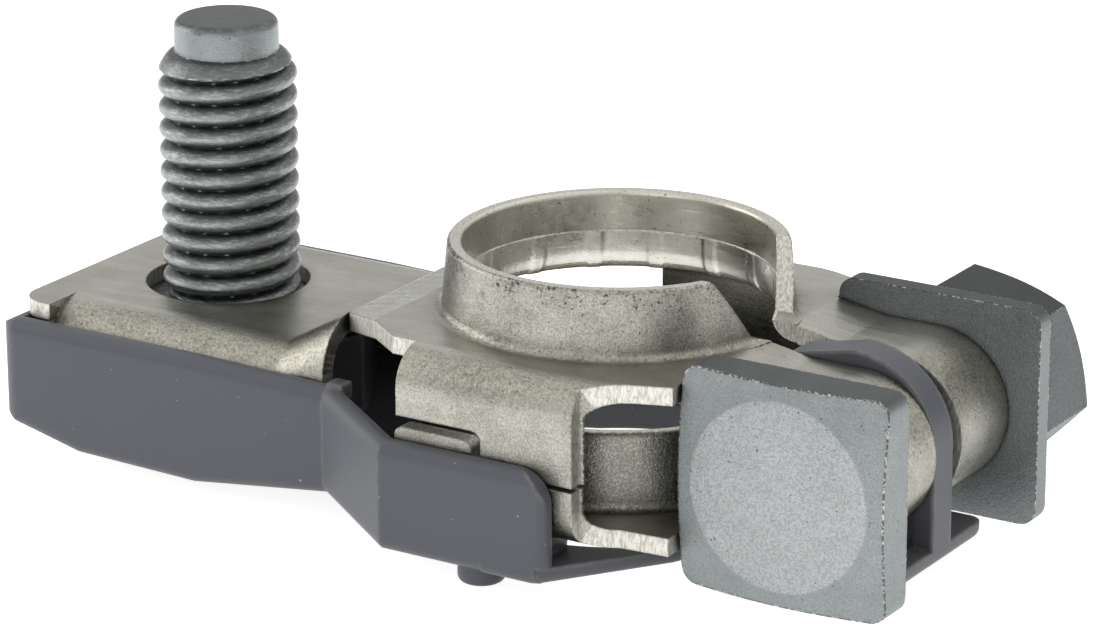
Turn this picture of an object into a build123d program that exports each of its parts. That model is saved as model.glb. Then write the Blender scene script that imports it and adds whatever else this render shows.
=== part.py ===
"""Battery terminal clamp with an M8 stud and a clip-on plastic tray.

Frame: millimetres, +Z up along the battery post. The origin is on the post axis in the plane of the upper
collar's rim. +X runs from the terminal stud (left) to the clamp bolt (right); the bolt lies along Y with its
square head at -Y and its nut at +Y.

Pieces, one solid each: clamp_body is a single tin-plated sheet, folded and drawn; clamp_bolt, square_washer
and clamp_nut draw its two rolled jaws together; terminal_stud stands in its stud plate; retainer_tray is the
moulded tray that holds the stud's head and hooks a strap over the bolt.
"""
from build123d import *
import os

# ---------------------------------------------------------------- driving dimensions
# Sheet and post
SHEET = 1.0              # thickness of the sheet
POST_R = 8.5             # radius of the straight band of the bore, at the upper rim
POST_BAND = 2.2          # depth of that band
POST_TAPER = 1 / 18      # growth of the bore radius per millimetre of depth below it
COLLAR_WALL = 0.8        # wall of the collars at their rims, thinned by the drawing
COLLAR_FLARE = 0.15      # how far the upper collar's outside widens down to its root
DRAW_R = 1.4             # radius where the sheet turns into a collar
ROOT_R = 0.5             # radius outside, where a collar meets its sheet
RIM_ROUND = 0.25         # rounding of the collars' rims

# Levels below the upper rim
DECK_DROP = 3.8          # top of the deck round the upper collar
CREST_DROP = 4.6         # top of the crest at the head of the ramp
PLATE_DROP = 6.8         # top of the stud plate
LOWER_RIM_DROP = 7.8     # rim of the lower collar

# Rolled barrel and bolt
BARREL_X = 15.7          # post axis to bolt axis
BARREL_DROP = 8.65       # upper rim to bolt axis
BOLT_D = 6.0             # M6
BARREL_CLEAR = 0.34      # radial play of the bolt in the roll
JAW_HALF = 7.25          # half length of the barrel along the bolt
SLIT_FRONT = 1.05        # front edge of the slit, towards -Y
SLIT_BACK = 1.95         # back edge of the slit, towards +Y
COLLAR_GAP_RIM = 9.3     # gap between the upper collar's ends at its rim
COLLAR_GAP_ROOT = 4.8    # and at its root
SLOPE_START = 9.6        # where the deck begins to fall to the barrel
SLOPE_END = 12.6         # where it has reached the barrel's top

# Skirts: the sheet's front and back edges, folded up and down between the collars and the stud
SKIRT_HALF = 13.0        # outside of the skirts
SKIRT_BEND = 2.1         # outside radius of their folds
SKIRT_LEFT = -5.9        # left ends of the skirts
BACK_SKIRT_LEFT = -4.4   # left end of the back skirt of the deck, cut shorter
SKIRT_RIGHT = 5.0        # right ends, at the open notch before the barrel
SKIRT_DROP = 9.4         # lower edge of the upper skirts
SEAM = 0.25              # gap between an upper skirt and the lower one
NOTCH_Y = 12.1           # half width where the free edge leaves a skirt
NOTCH_X = 6.7            # end of its slanted run,
UPPER_WAIST = 11.3       # half width of the upper sheet there
LOWER_WAIST = 10.9       # and of the lower sheet
WAIST_R = 0.8            # rounding of that corner of the lower sheet
WAIST_X = 9.5            # where the free edge turns in to the barrel,
UPPER_WAIST_END = 10.3   # half width of the upper sheet there
LOWER_WAIST_END = 10.7   # and of the lower sheet
LOCK_LEFT = -6.0         # left end of the locking tabs on the lower skirts
LOCK_RIGHT = -1.2        # right end of the locking tabs
LOCK_DROP = 7.95         # top of the locking tabs
LOCK_CLEAR = 0.6         # room above and beside a locking tab
LOWER_LEFT = -11.4       # left end of the lower sheet
LOWER_LEFT_HALF = 7.6    # its half width there

# Stud plate
PLATE_LEFT = -34.25      # left end of the plate
PLATE_HALF = 9.3         # outside of the plate's flanges
PLATE_BEND = 2.8         # outside radius of their folds
FLANGE_LEFT = -31.9      # left end of the flanges
FLANGE_RIGHT = -13.2     # right end of the flanges
FLANGE_DEPTH = 3.9       # plate top to flange edge
CORNER_R = 1.8           # plate corners
CORNER_INSET = 0.1       # how far they stand inside the flanges
RAMP_FOOT = -16.6        # where the ramp leaves the plate
CREST_X = -12.9          # where the ramp ends
CREST_HALF = 7.0         # half width of the sheet at the crest
RAMP_R = 1.0             # fold radius of the ramp and of the barrel's run

# Terminal stud
STUD_X = -25.84          # post axis to stud axis
STUD_D = 8.0             # M8
STUD_RISE = 15.5         # stud above the plate
STUD_HOLE_D = 9.4        # hole in the plate
STUD_HOLE_SHIFT = -0.3   # hole centre to stud axis
STUD_HEAD_AF = 13.0      # hexagon of the stud's head
STUD_HEAD_K = 5.3        # its height
STUD_NECK_D = 7.2        # plain neck between the head and the thread
STUD_NECK_RISE = 0.3     # start of the thread above the plate
DOG_D = 5.9              # dog point
DOG_L = 1.9
DOG_ROUND = 0.5
RUN_IN = 1.1             # cone between dog point and thread

# Clamp bolt, washer and nut
HEAD_SIDE = 12.07        # square head
HEAD_K = 3.0             # its thickness
HEAD_CORNER_R = 0.9
PAD_R = 5.2              # flat round face in the middle of the head
CONE_FALL = 0.25         # fall of the head's cone per millimetre of radius
BOLT_L = 25.0            # under-head length
BOLT_POINT = 0.8         # chamfer of the bolt's end
WASHER_SIDE = 12.2
WASHER_T = 1.17
WASHER_CORNER_R = 1.0
WASHER_PLAY = 0.2        # radial play on the bolt
NUT_AF = 10.0
NUT_L = 6.5
NUT_TURN = 14.5          # rotation of the nut's hexagon about the bolt
NUT_CONE = 0.55          # rise of the nut's end chamfers
THREAD_PLAY = 0.05       # radial play of the nut on the bolt
SEAT = 0.02              # faces that press together

# Tray
TRAY_WALL = 1.0
TRAY_CLEAR = 0.1         # tray to sheet
TRAY_LEFT = -34.75       # outside of the end wall
TRAY_KNEE = -12.5        # where the walls begin to flare
TRAY_WIDE = -6.4         # where they are widest
TRAY_RIGHT = 3.9         # right ends of the walls
TRAY_ROUND = 0.8         # rounding outside the tray's long edges
TRAY_TOP_LEFT = 7.75     # drops of the walls' top edge: at the left end,
TRAY_TOP_KNEE = 7.95     # at the knee
TRAY_TOP_WIDE = 8.65     # and at the widest part
TRAY_TOP_R = 1.9         # rounding of the walls' right ends
TRAY_END_R = 1.2         # rounding of the end wall's corners
WALL_END_R = 0.5         # rounding of the walls' right ends, seen from above
FLOOR = 1.8              # floor under the lower sheet
POCKET_LOW = 15.2        # drops of the underside: at the stud,
ARCH_LOW = 14.05         # at the knee
BOW_LOW = 13.8           # and at the left end
BELLY_LEFT = -29.55      # left and right ends of the low belly under the stud
BELLY_RIGHT = -21.54
POCKET_WALL = 1.2        # wall of the hexagonal pocket
POCKET_DROP = 8.6        # top of that wall
HEAD_PLAY = 0.1          # stud head to pocket, across the flats
POST_HOLE_R = 10.2       # hole for the post in the floor
POST_HOLE_FLARE = 0.5
BASE_T = 0.95            # base beyond the walls, and the tongue under the barrel
BASE_LEFT = 2.9          # where the floor steps down to it
BASE_CORNER = 3.4        # where its slanted edges start at the walls
BASE_CORNER_R = 1.0
BASE_ROUND = 0.6         # rounding of its lower edges
TONGUE_HALF = 5.1
TONGUE_RIGHT = 19.9
TONGUE_R = 0.9
BASE_END_X = 8.1         # where the slanted edges end
BASE_END_Y = 7.5
TONGUE_ROOT = 9.3        # where the base has narrowed to the tongue
STRAP_T = 1.2            # strap over the bolt
STRAP_W = 2.05
STRAP_R = 5.0            # outside radius of its bow
STRAP_LIFT = 0.15        # bow axis above the bolt axis
STRAP_END_X = 11.3       # free end
STRAP_END_FALL = 0.75    # how far the free end dips
NUB_R = 1.3              # round feet under the tray
NUB_L = 1.2
NUB_ROUND = 0.4
NUB_X = -1.2
NUB_INSET = 2.1          # from the outside of the wall
SLOT_HALF = 7.1          # slot in the end wall
SLOT_H = 0.55
SLOT_DROP = 8.45
HOOK_X = -12.5           # catches beside the flanges' right ends: their left faces
HOOK_L = 1.0             # length along X
HOOK_H = 0.9             # height
HOOK_DROP = 7.7          # top
HOOK_IN = 0.5            # how far they reach in past the wall

# ---------------------------------------------------------------- worked-out sizes
BOLT_R = BOLT_D / 2
ROLL_IN = BOLT_R + BARREL_CLEAR
ROLL_OUT = ROLL_IN + SHEET
AXIS_Z = -BARREL_DROP
DECK_Z = -DECK_DROP
PLATE_Z = -PLATE_DROP
BARREL_TOP = AXIS_Z + ROLL_OUT
LOWER_Z = AXIS_Z - ROLL_OUT          # underside of the lower sheet
LOWER_TOP = LOWER_Z + SHEET
FLOOR_TOP = LOWER_Z - TRAY_CLEAR / 2
FLOOR_Z = FLOOR_TOP - FLOOR
WASHER_Y = JAW_HALF + SEAT
NUT_Y = WASHER_Y + WASHER_T + SEAT
STUD_R = STUD_D / 2
FOLD_START = SKIRT_HALF - SKIRT_BEND # half width of the flat sheet between the skirts' folds
STUD_HEAD_TOP = PLATE_Z - SHEET - SEAT
TRAY_WALL_HALF = PLATE_HALF + TRAY_CLEAR + TRAY_WALL
TRAY_WIDE_HALF = SKIRT_HALF + TRAY_CLEAR + TRAY_WALL
POCKET_AF = STUD_HEAD_AF + 2 * HEAD_PLAY
POCKET_Z = STUD_HEAD_TOP - STUD_HEAD_K - SEAT  # floor of the pocket, under the stud's head
POCKET_H = -POCKET_DROP - POCKET_Z
REACH = 60.0                         # longer than any piece, for cutting through


def bore(z):
    """Radius of the bore at height z: straight at the rim, tapered below."""
    return POST_R + POST_TAPER * max(0, -z - POST_BAND)


def both_sides(shape):
    """The shape together with its mirror image across the XZ plane."""
    return shape + mirror(shape, about=Plane.XZ)


def upright(points, low, high):
    """A prism on a plan outline, between two heights."""
    face = make_face(Polyline(*points, close=True))
    return extrude(Pos(0, 0, low) * face, amount=high - low)


def side_face(points):
    """A face from (x, z) points."""
    return make_face(Polyline(*[(x, 0, z) for x, z in points], close=True))


# ---------------------------------------------------------------- clamp body
def sheet_ribbon():
    """Side view of the whole sheet: plate, ramp, deck, rolled barrel and lower sheet."""
    half = SHEET / 2
    with BuildSketch(Plane.XZ) as ribbon:
        with BuildLine():
            FilletPolyline(
                (PLATE_LEFT, PLATE_Z - half),
                (RAMP_FOOT, PLATE_Z - half),
                (CREST_X, -CREST_DROP - half),
                (-SLOPE_START, DECK_Z - half),
                (SLOPE_START, DECK_Z - half),
                (SLOPE_END, BARREL_TOP - half),
                (BARREL_X, BARREL_TOP - half),
                radius=RAMP_R,
            )
            ThreePointArc(
                (BARREL_X, BARREL_TOP - half),
                (BARREL_X + ROLL_OUT - half, AXIS_Z),
                (BARREL_X, LOWER_Z + half),
            )
            Line((BARREL_X, LOWER_Z + half), (LOWER_LEFT, LOWER_Z + half))
        trace(line_width=SHEET)
    return extrude(ribbon.sketch, amount=FOLD_START, both=True)


def mirrored_outline(points):
    """A closed plan outline from its +Y half, given from left to right."""
    return points + [(x, -y) for x, y in reversed(points)]


def waist(start_half, end_half):
    """Free edge between the skirts and the barrel, from left to right."""
    return [
        (SKIRT_RIGHT, SKIRT_HALF + SHEET),
        (SKIRT_RIGHT, NOTCH_Y),
        (NOTCH_X, start_half),
        (WAIST_X, end_half),
        (WAIST_X, JAW_HALF),
        (BARREL_X + ROLL_OUT + SHEET, JAW_HALF),
    ]


def upper_plan(low):
    """Plan of the plate, the neck, the deck with its skirts, and the barrel."""
    flat = PLATE_HALF - PLATE_BEND
    left = [
        (PLATE_LEFT, flat),
        (FLANGE_RIGHT, flat),
        (CREST_X, CREST_HALF),
        (SKIRT_LEFT, SKIRT_HALF - SHEET),
        (SKIRT_LEFT, SKIRT_HALF + SHEET),
    ]
    return upright(mirrored_outline(left + waist(UPPER_WAIST, UPPER_WAIST_END)), low, SHEET)


def lower_plan(high):
    """Plan of the lower sheet."""
    left = [
        (LOWER_LEFT, LOWER_LEFT_HALF),
        (LOCK_LEFT, FOLD_START),
        (LOCK_LEFT, SKIRT_HALF + SHEET),
    ]
    prism = upright(mirrored_outline(left + waist(LOWER_WAIST, LOWER_WAIST_END)), -REACH, high)
    for side in (LOWER_WAIST, -LOWER_WAIST):
        corner = (NOTCH_X, side, (high - REACH) / 2)
        edge = prism.edges().filter_by(Axis.Z).sort_by_distance(corner)[0]
        prism = fillet(edge, radius=WAIST_R)
    return prism


def skirt_section(fold_z, edge_z, half_width, bend):
    """Section across X of one fold and its wall; fold_z is the flat sheet's outer face."""
    down = -1 if edge_z < fold_z else 1
    middle = (half_width - bend, fold_z + down * bend)
    with BuildSketch(Plane.YZ) as section:
        with Locations(middle):
            Circle(bend)
            Circle(bend - SHEET, mode=Mode.SUBTRACT)
        with Locations((middle[0] + bend / 2, middle[1] - down * bend / 2)):
            Rectangle(bend, bend, mode=Mode.INTERSECT)
        with Locations((half_width - SHEET / 2, (middle[1] + edge_z) / 2)):
            Rectangle(SHEET, abs(edge_z - middle[1]))
    return section.sketch


def upper_skirts():
    """Folded-down edges of the deck, notched over the locking tabs and open before the barrel."""
    section = skirt_section(DECK_Z, -SKIRT_DROP, SKIRT_HALF, SKIRT_BEND)
    skirt = extrude(Pos(SKIRT_LEFT, 0, 0) * section, amount=WAIST_X - SKIRT_LEFT, dir=(1, 0, 0))
    lock_notch = Pos((SKIRT_LEFT + LOCK_RIGHT) / 2, SKIRT_HALF, -SKIRT_DROP) * Box(
        LOCK_RIGHT - SKIRT_LEFT + 2 * LOCK_CLEAR, 4 * SHEET, 2 * (SKIRT_DROP - LOCK_DROP + LOCK_CLEAR)
    )
    lock_notch = fillet(lock_notch.edges().filter_by(Axis.Y).group_by(Axis.Z)[-1], radius=LOCK_CLEAR)
    shorter = Pos(BACK_SKIRT_LEFT, SKIRT_HALF, 0) * Box(
        REACH, 2 * SKIRT_BEND, REACH, align=(Align.MAX, Align.CENTER, Align.CENTER)
    )
    return both_sides(skirt - lock_notch) - shorter


def lower_skirts():
    """Folded-up edges of the lower sheet, each with a locking tab."""
    top = -SKIRT_DROP - SEAM
    section = skirt_section(LOWER_Z, top, SKIRT_HALF, SKIRT_BEND)
    skirt = extrude(Pos(LOCK_LEFT, 0, 0) * section, amount=WAIST_X - LOCK_LEFT, dir=(1, 0, 0))
    tab = Pos((LOCK_LEFT + LOCK_RIGHT) / 2, SKIRT_HALF - SHEET / 2, (top - LOCK_DROP) / 2) * Box(
        LOCK_RIGHT - LOCK_LEFT, SHEET, -LOCK_DROP - top
    )
    tab = fillet(tab.edges().filter_by(Axis.Y).group_by(Axis.Z)[-1], radius=SHEET / 2)
    return both_sides(skirt + tab)


def plate_channel():
    """Stud plate with its folded-down flanges, swept along the plate and up the ramp."""
    half = SHEET / 2
    with BuildLine(Plane.XZ) as path:
        FilletPolyline(
            (FLANGE_LEFT, PLATE_Z - half),
            (RAMP_FOOT, PLATE_Z - half),
            (CREST_X, -CREST_DROP - half),
            radius=RAMP_R,
        )
    section = skirt_section(PLATE_Z, PLATE_Z - FLANGE_DEPTH, PLATE_HALF, PLATE_BEND)
    section = Pos(FLANGE_LEFT, 0, 0) * section
    flange = sweep(section, path=path.line)
    keep = Pos((FLANGE_LEFT + FLANGE_RIGHT) / 2, 0, PLATE_Z) * Box(
        FLANGE_RIGHT - FLANGE_LEFT, REACH, REACH
    )
    return both_sides(flange & keep)


def corner_tabs():
    """Flat left corners of the plate, beyond the flanges."""
    width = FLANGE_LEFT - PLATE_LEFT
    tab = Pos(PLATE_LEFT + width / 2, 0, PLATE_Z - SHEET / 2) * Box(
        width, 2 * (PLATE_HALF - CORNER_INSET), SHEET
    )
    return fillet(tab.edges().filter_by(Axis.Z).group_by(Axis.X)[0], radius=CORNER_R)


def collar(rim_z, deck_z, flare):
    """A collar drawn up from a sheet whose top is deck_z, with the sheet's ring around it."""
    low = deck_z - SHEET
    rim_out = bore(rim_z) + COLLAR_WALL
    root = bore(deck_z) + SHEET + flare
    ring_out = root + ROOT_R
    outline = [
        (bore(rim_z), rim_z),
        (rim_out, rim_z),
        (root, deck_z),
        (ring_out, deck_z),
        (ring_out, low),
        (bore(low), low),
    ]
    if rim_z > -POST_BAND:
        outline.append((POST_R, -POST_BAND))
    profile = side_face(outline)
    corners = [
        ((root, 0, deck_z), ROOT_R),
        ((bore(low), 0, low), DRAW_R),
        ((rim_out, 0, rim_z), RIM_ROUND),
        ((bore(rim_z), 0, rim_z), RIM_ROUND),
    ]
    for corner, radius in corners:
        profile = fillet(profile.vertices().sort_by_distance(corner)[:1], radius=radius)
    return revolve(profile, axis=Axis.Z), ring_out


def make_body():
    upper_collar, upper_ring = collar(0, DECK_Z, COLLAR_FLARE + POST_R - bore(DECK_Z))
    lower_collar, lower_ring = collar(-LOWER_RIM_DROP, LOWER_TOP, 0)

    body = (sheet_ribbon() & upper_plan(AXIS_Z)) + (upper_skirts() & upper_plan(LOWER_Z))
    body -= Pos(0, 0, DECK_Z) * Cylinder(upper_ring, 6 * SHEET)
    body += upper_collar

    under = (sheet_ribbon() & lower_plan(AXIS_Z)) + (lower_skirts() & lower_plan(DECK_Z))
    under -= Pos(0, 0, LOWER_TOP) * Cylinder(lower_ring, 6 * SHEET)
    under += lower_collar
    body += under
    body += plate_channel()
    body += corner_tabs()

    slit_w = SLIT_FRONT + SLIT_BACK
    slit = Pos(REACH / 2, (SLIT_BACK - SLIT_FRONT) / 2, 0) * Box(REACH, slit_w, REACH)
    body -= slit
    body -= collar_end_cut()
    body -= Pos(STUD_X + STUD_HOLE_SHIFT, 0, PLATE_Z) * Cylinder(STUD_HOLE_D / 2, 4 * SHEET)
    return body


def collar_end_cut():
    """Wedge between the upper collar's ends, wider at the rim than at the root."""
    middle = (SLIT_BACK - SLIT_FRONT) / 2
    rim = COLLAR_GAP_RIM / 2
    root = COLLAR_GAP_ROOT / 2
    slit = (SLIT_FRONT + SLIT_BACK) / 2
    half = [
        (0, DECK_Z),
        (slit, DECK_Z),
        (root, DECK_Z + ROOT_R / 2),
        (rim, 0),
        (rim + RIM_ROUND, SHEET),
        (0, SHEET),
    ]
    outline = [(-y, z) for y, z in half[:0:-1]] + half
    wedge = make_face(Polyline(*[(0, middle + y, z) for y, z in outline], close=True))
    return extrude(wedge, amount=REACH, dir=(1, 0, 0))


# ---------------------------------------------------------------- stud, bolt, washer, nut
def make_stud():
    top = PLATE_Z + STUD_RISE
    thread_start = PLATE_Z + STUD_NECK_RISE
    shank = revolve(side_face([
        (0, STUD_HEAD_TOP),
        (STUD_NECK_D / 2, STUD_HEAD_TOP),
        (STUD_NECK_D / 2, thread_start),
        (STUD_R, thread_start),
        (STUD_R, top - DOG_L - RUN_IN),
        (DOG_D / 2, top - DOG_L),
        (DOG_D / 2, top - DOG_ROUND),
        (DOG_D / 2 - DOG_ROUND, top),
        (0, top),
    ]), axis=Axis.Z)
    head = extrude(RegularPolygon(STUD_HEAD_AF / 2, 6, major_radius=False), amount=-STUD_HEAD_K)
    return Pos(STUD_X, 0, 0) * (shank + Pos(0, 0, STUD_HEAD_TOP) * head)


def on_bolt_axis(shape, start):
    """Stand a shape drawn along +Z on the bolt axis, pointing along +Y from y = start."""
    return Pos(BARREL_X, start, AXIS_Z) * Rot(-90, 0, 0) * shape


def make_bolt():
    block = Pos(0, 0, -HEAD_K / 2) * Box(HEAD_SIDE, HEAD_SIDE, HEAD_K)
    block = fillet(block.edges().filter_by(Axis.Z), radius=HEAD_CORNER_R)
    rim = HEAD_SIDE
    cone = revolve(side_face([
        (0, -HEAD_K),
        (PAD_R, -HEAD_K),
        (rim, -HEAD_K + CONE_FALL * (rim - PAD_R)),
        (rim, HEAD_K),
        (0, HEAD_K),
    ]), axis=Axis.Z)
    shank = revolve(side_face([
        (0, -SEAT),
        (BOLT_R, -SEAT),
        (BOLT_R, BOLT_L - BOLT_POINT),
        (BOLT_R - BOLT_POINT, BOLT_L),
        (0, BOLT_L),
    ]), axis=Axis.Z)
    return on_bolt_axis((block & cone) + shank, -JAW_HALF)


def make_washer():
    plate = Pos(0, 0, WASHER_T / 2) * Box(WASHER_SIDE, WASHER_SIDE, WASHER_T)
    plate = fillet(plate.edges().filter_by(Axis.Z), radius=WASHER_CORNER_R)
    plate -= Cylinder(BOLT_R + WASHER_PLAY, 4 * WASHER_T)
    return on_bolt_axis(plate, WASHER_Y)


def make_nut():
    hexagon = extrude(RegularPolygon(NUT_AF / 2, 6, major_radius=False, rotation=NUT_TURN), amount=NUT_L)
    corner = NUT_AF / 3 ** 0.5
    barrel = revolve(side_face([
        (0, 0),
        (NUT_AF / 2, 0),
        (corner, NUT_CONE),
        (corner, NUT_L - NUT_CONE),
        (NUT_AF / 2, NUT_L),
        (0, NUT_L),
    ]), axis=Axis.Z)
    nut = (hexagon & barrel) - Cylinder(BOLT_R + THREAD_PLAY, 4 * NUT_L)
    return on_bolt_axis(nut, NUT_Y)


# ---------------------------------------------------------------- tray
def tray_section(x, half_width, low, high):
    """Upright section of the tray's outside at x, with rounded long edges."""
    with BuildSketch(Plane.YZ.offset(x)) as section:
        with Locations((0, (low + high) / 2)):
            Rectangle(2 * half_width, high - low)
        fillet(section.vertices(), radius=TRAY_ROUND)
    return section.sketch.face()


def tray_shell():
    """Outside of the tray, lofted through sections from its left end to the walls' right ends."""
    narrow = TRAY_WALL_HALF
    wide = TRAY_WIDE_HALF
    stations = [
        (TRAY_LEFT, narrow, -BOW_LOW + TRAY_ROUND, -TRAY_TOP_LEFT - TRAY_ROUND / 2),
        (TRAY_LEFT + TRAY_ROUND, narrow, -BOW_LOW - TRAY_ROUND / 4, -TRAY_TOP_LEFT),
        (BELLY_LEFT, narrow, -POCKET_LOW + TRAY_ROUND / 4, -TRAY_TOP_LEFT),
        (BELLY_RIGHT, narrow, -POCKET_LOW, -TRAY_TOP_LEFT),
        (TRAY_KNEE, narrow, -ARCH_LOW, -TRAY_TOP_KNEE),
        (TRAY_WIDE, wide, FLOOR_Z, -TRAY_TOP_WIDE),
        (TRAY_RIGHT, wide, FLOOR_Z, -TRAY_TOP_WIDE),
    ]
    sections = [tray_section(*station) for station in stations]
    shell = loft(sections, ruled=True)
    length = TRAY_RIGHT - TRAY_LEFT
    narrow_end = Pos(TRAY_LEFT + length / 2, 0, FLOOR_Z) * Box(length, 2 * narrow, REACH)
    narrow_end = fillet(narrow_end.edges().filter_by(Axis.Z).group_by(Axis.X)[0], radius=TRAY_END_R)
    wide_end = Pos(TRAY_RIGHT, 0, FLOOR_Z) * Box(
        TRAY_RIGHT - TRAY_KNEE, 2 * wide, REACH, align=(Align.MAX, Align.CENTER, Align.CENTER)
    )
    wide_end = fillet(wide_end.edges().filter_by(Axis.Z).group_by(Axis.X)[-1], radius=WALL_END_R)
    return shell & (narrow_end + wide_end)


def tray_cavity():
    """Room inside the tray's walls, open at the top and at the right, where the floor steps down."""
    narrow = PLATE_HALF + TRAY_CLEAR
    wide = SKIRT_HALF + TRAY_CLEAR
    slant = TRAY_WALL / 3
    room = upright(mirrored_outline([
        (TRAY_LEFT + TRAY_WALL, narrow),
        (TRAY_KNEE + slant, narrow),
        (TRAY_WIDE + slant, wide),
        (TRAY_RIGHT + SHEET, wide),
    ]), FLOOR_TOP, 0)
    step = upright(mirrored_outline([(BASE_LEFT, wide), (TRAY_RIGHT + SHEET, wide)]), FLOOR_Z + BASE_T, 0)
    under_ends = upright(mirrored_outline([(BASE_CORNER, REACH), (REACH, REACH)]), -REACH, FLOOR_Z + BASE_T)
    return room + step + under_ends


def tray_base():
    """Base beyond the walls: slanted front edges, and the tongue under the barrel."""
    base = upright(mirrored_outline([
        (0, TRAY_WIDE_HALF),
        (BASE_CORNER, TRAY_WIDE_HALF),
        (BASE_END_X, BASE_END_Y),
        (TONGUE_ROOT, TONGUE_HALF),
        (TONGUE_RIGHT, TONGUE_HALF),
    ]), FLOOR_Z, FLOOR_Z + BASE_T)
    corners = base.edges().filter_by(Axis.Z).group_by(Axis.X)
    base = fillet(corners[-1], radius=TONGUE_R)
    corners = base.edges().filter_by(Axis.Z).filter_by(lambda edge: abs(edge.center().X - BASE_CORNER) < SEAT)
    base = fillet(corners, radius=BASE_CORNER_R)
    lower = base.edges().group_by(Axis.Z)[0].filter_by(lambda edge: edge.center().X > SEAT)
    return fillet(lower, radius=BASE_ROUND)


def strap():
    """Strap that rises from the tongue and bows over the bolt through the slit."""
    half = STRAP_T / 2
    axis_z = AXIS_Z + STRAP_LIFT
    bow_x = TONGUE_RIGHT - STRAP_R
    mid_r = STRAP_R - half
    top_z = axis_z + mid_r
    with BuildSketch(Plane.XZ) as ribbon:
        with BuildLine():
            Line((bow_x + mid_r, FLOOR_Z + BASE_T / 2), (bow_x + mid_r, axis_z))
            CenterArc((bow_x, axis_z), mid_r, 0, 90)
            Line((bow_x, top_z), (STRAP_END_X, top_z - STRAP_END_FALL))
        trace(line_width=STRAP_T)
    return extrude(Pos(0, -SLIT_FRONT + TRAY_CLEAR, 0) * ribbon.sketch, amount=STRAP_W, dir=(0, 1, 0))


def make_tray():
    tray = tray_shell() - tray_cavity()
    tray += tray_base()
    top_round = Pos(TRAY_RIGHT, 0, -TRAY_TOP_WIDE) * Box(2 * TRAY_TOP_R, REACH, 2 * TRAY_TOP_R)
    rounding = Pos(TRAY_RIGHT - TRAY_TOP_R, 0, -TRAY_TOP_WIDE - TRAY_TOP_R) * Rot(90, 0, 0) * Cylinder(
        TRAY_TOP_R, REACH
    )
    tray -= top_round - rounding

    boss = extrude(RegularPolygon(POCKET_AF / 2 + POCKET_WALL, 6, major_radius=False), amount=POCKET_H)
    socket = extrude(RegularPolygon(POCKET_AF / 2, 6, major_radius=False), amount=POCKET_H + SHEET)
    tray += Pos(STUD_X, 0, POCKET_Z) * boss
    tray -= Pos(STUD_X, 0, POCKET_Z) * socket
    under_plate = PLATE_Z - SHEET - TRAY_CLEAR / 2
    tray -= Pos(TRAY_LEFT, 0, under_plate + SHEET) * Box(
        2 * (TRAY_WALL + TRAY_CLEAR), 2 * (PLATE_HALF + TRAY_CLEAR), 2 * SHEET
    )

    hole = Cone(POST_HOLE_R + POST_HOLE_FLARE, POST_HOLE_R, FLOOR)
    tray -= Pos(0, 0, (FLOOR_Z + FLOOR_TOP) / 2) * hole

    tray += strap()
    slot = Pos(TRAY_LEFT, 0, -SLOT_DROP - SLOT_H / 2) * Box(4 * TRAY_WALL, 2 * SLOT_HALF, SLOT_H)
    tray -= slot
    nub_top = FLOOR_Z + FLOOR / 2
    nub = Pos(NUB_X, TRAY_WIDE_HALF - NUB_INSET, nub_top) * Cylinder(
        NUB_R, NUB_L + FLOOR / 2, align=(Align.CENTER, Align.CENTER, Align.MAX)
    )
    nub = fillet(nub.edges().group_by(Axis.Z)[0], radius=NUB_ROUND)
    tray += both_sides(nub)
    hook_y = TRAY_WALL_HALF - TRAY_WALL - HOOK_IN
    hook = Pos(HOOK_X + HOOK_L / 2, hook_y + TRAY_WALL / 2, -HOOK_DROP - HOOK_H / 2) * Box(
        HOOK_L, TRAY_WALL, HOOK_H
    )
    tray += both_sides(hook)
    return tray


os.makedirs("parts", exist_ok=True)
PIECES = {
    "clamp_body": make_body(),
    "terminal_stud": make_stud(),
    "clamp_bolt": make_bolt(),
    "square_washer": make_washer(),
    "clamp_nut": make_nut(),
    "retainer_tray": make_tray(),
}
for name, shape in PIECES.items():
    export_step(shape, f"parts/{name}.step")
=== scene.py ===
"""Looks of a battery terminal clamp: plated folded sheet, zinc-flake fasteners and a moulded tray.

Metres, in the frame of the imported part: +Z up along the battery post, +X from the stud to the clamp bolt.
"""

import math

import bpy
from mathutils import Matrix, Vector
from mathutils.bvhtree import BVHTree


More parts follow.
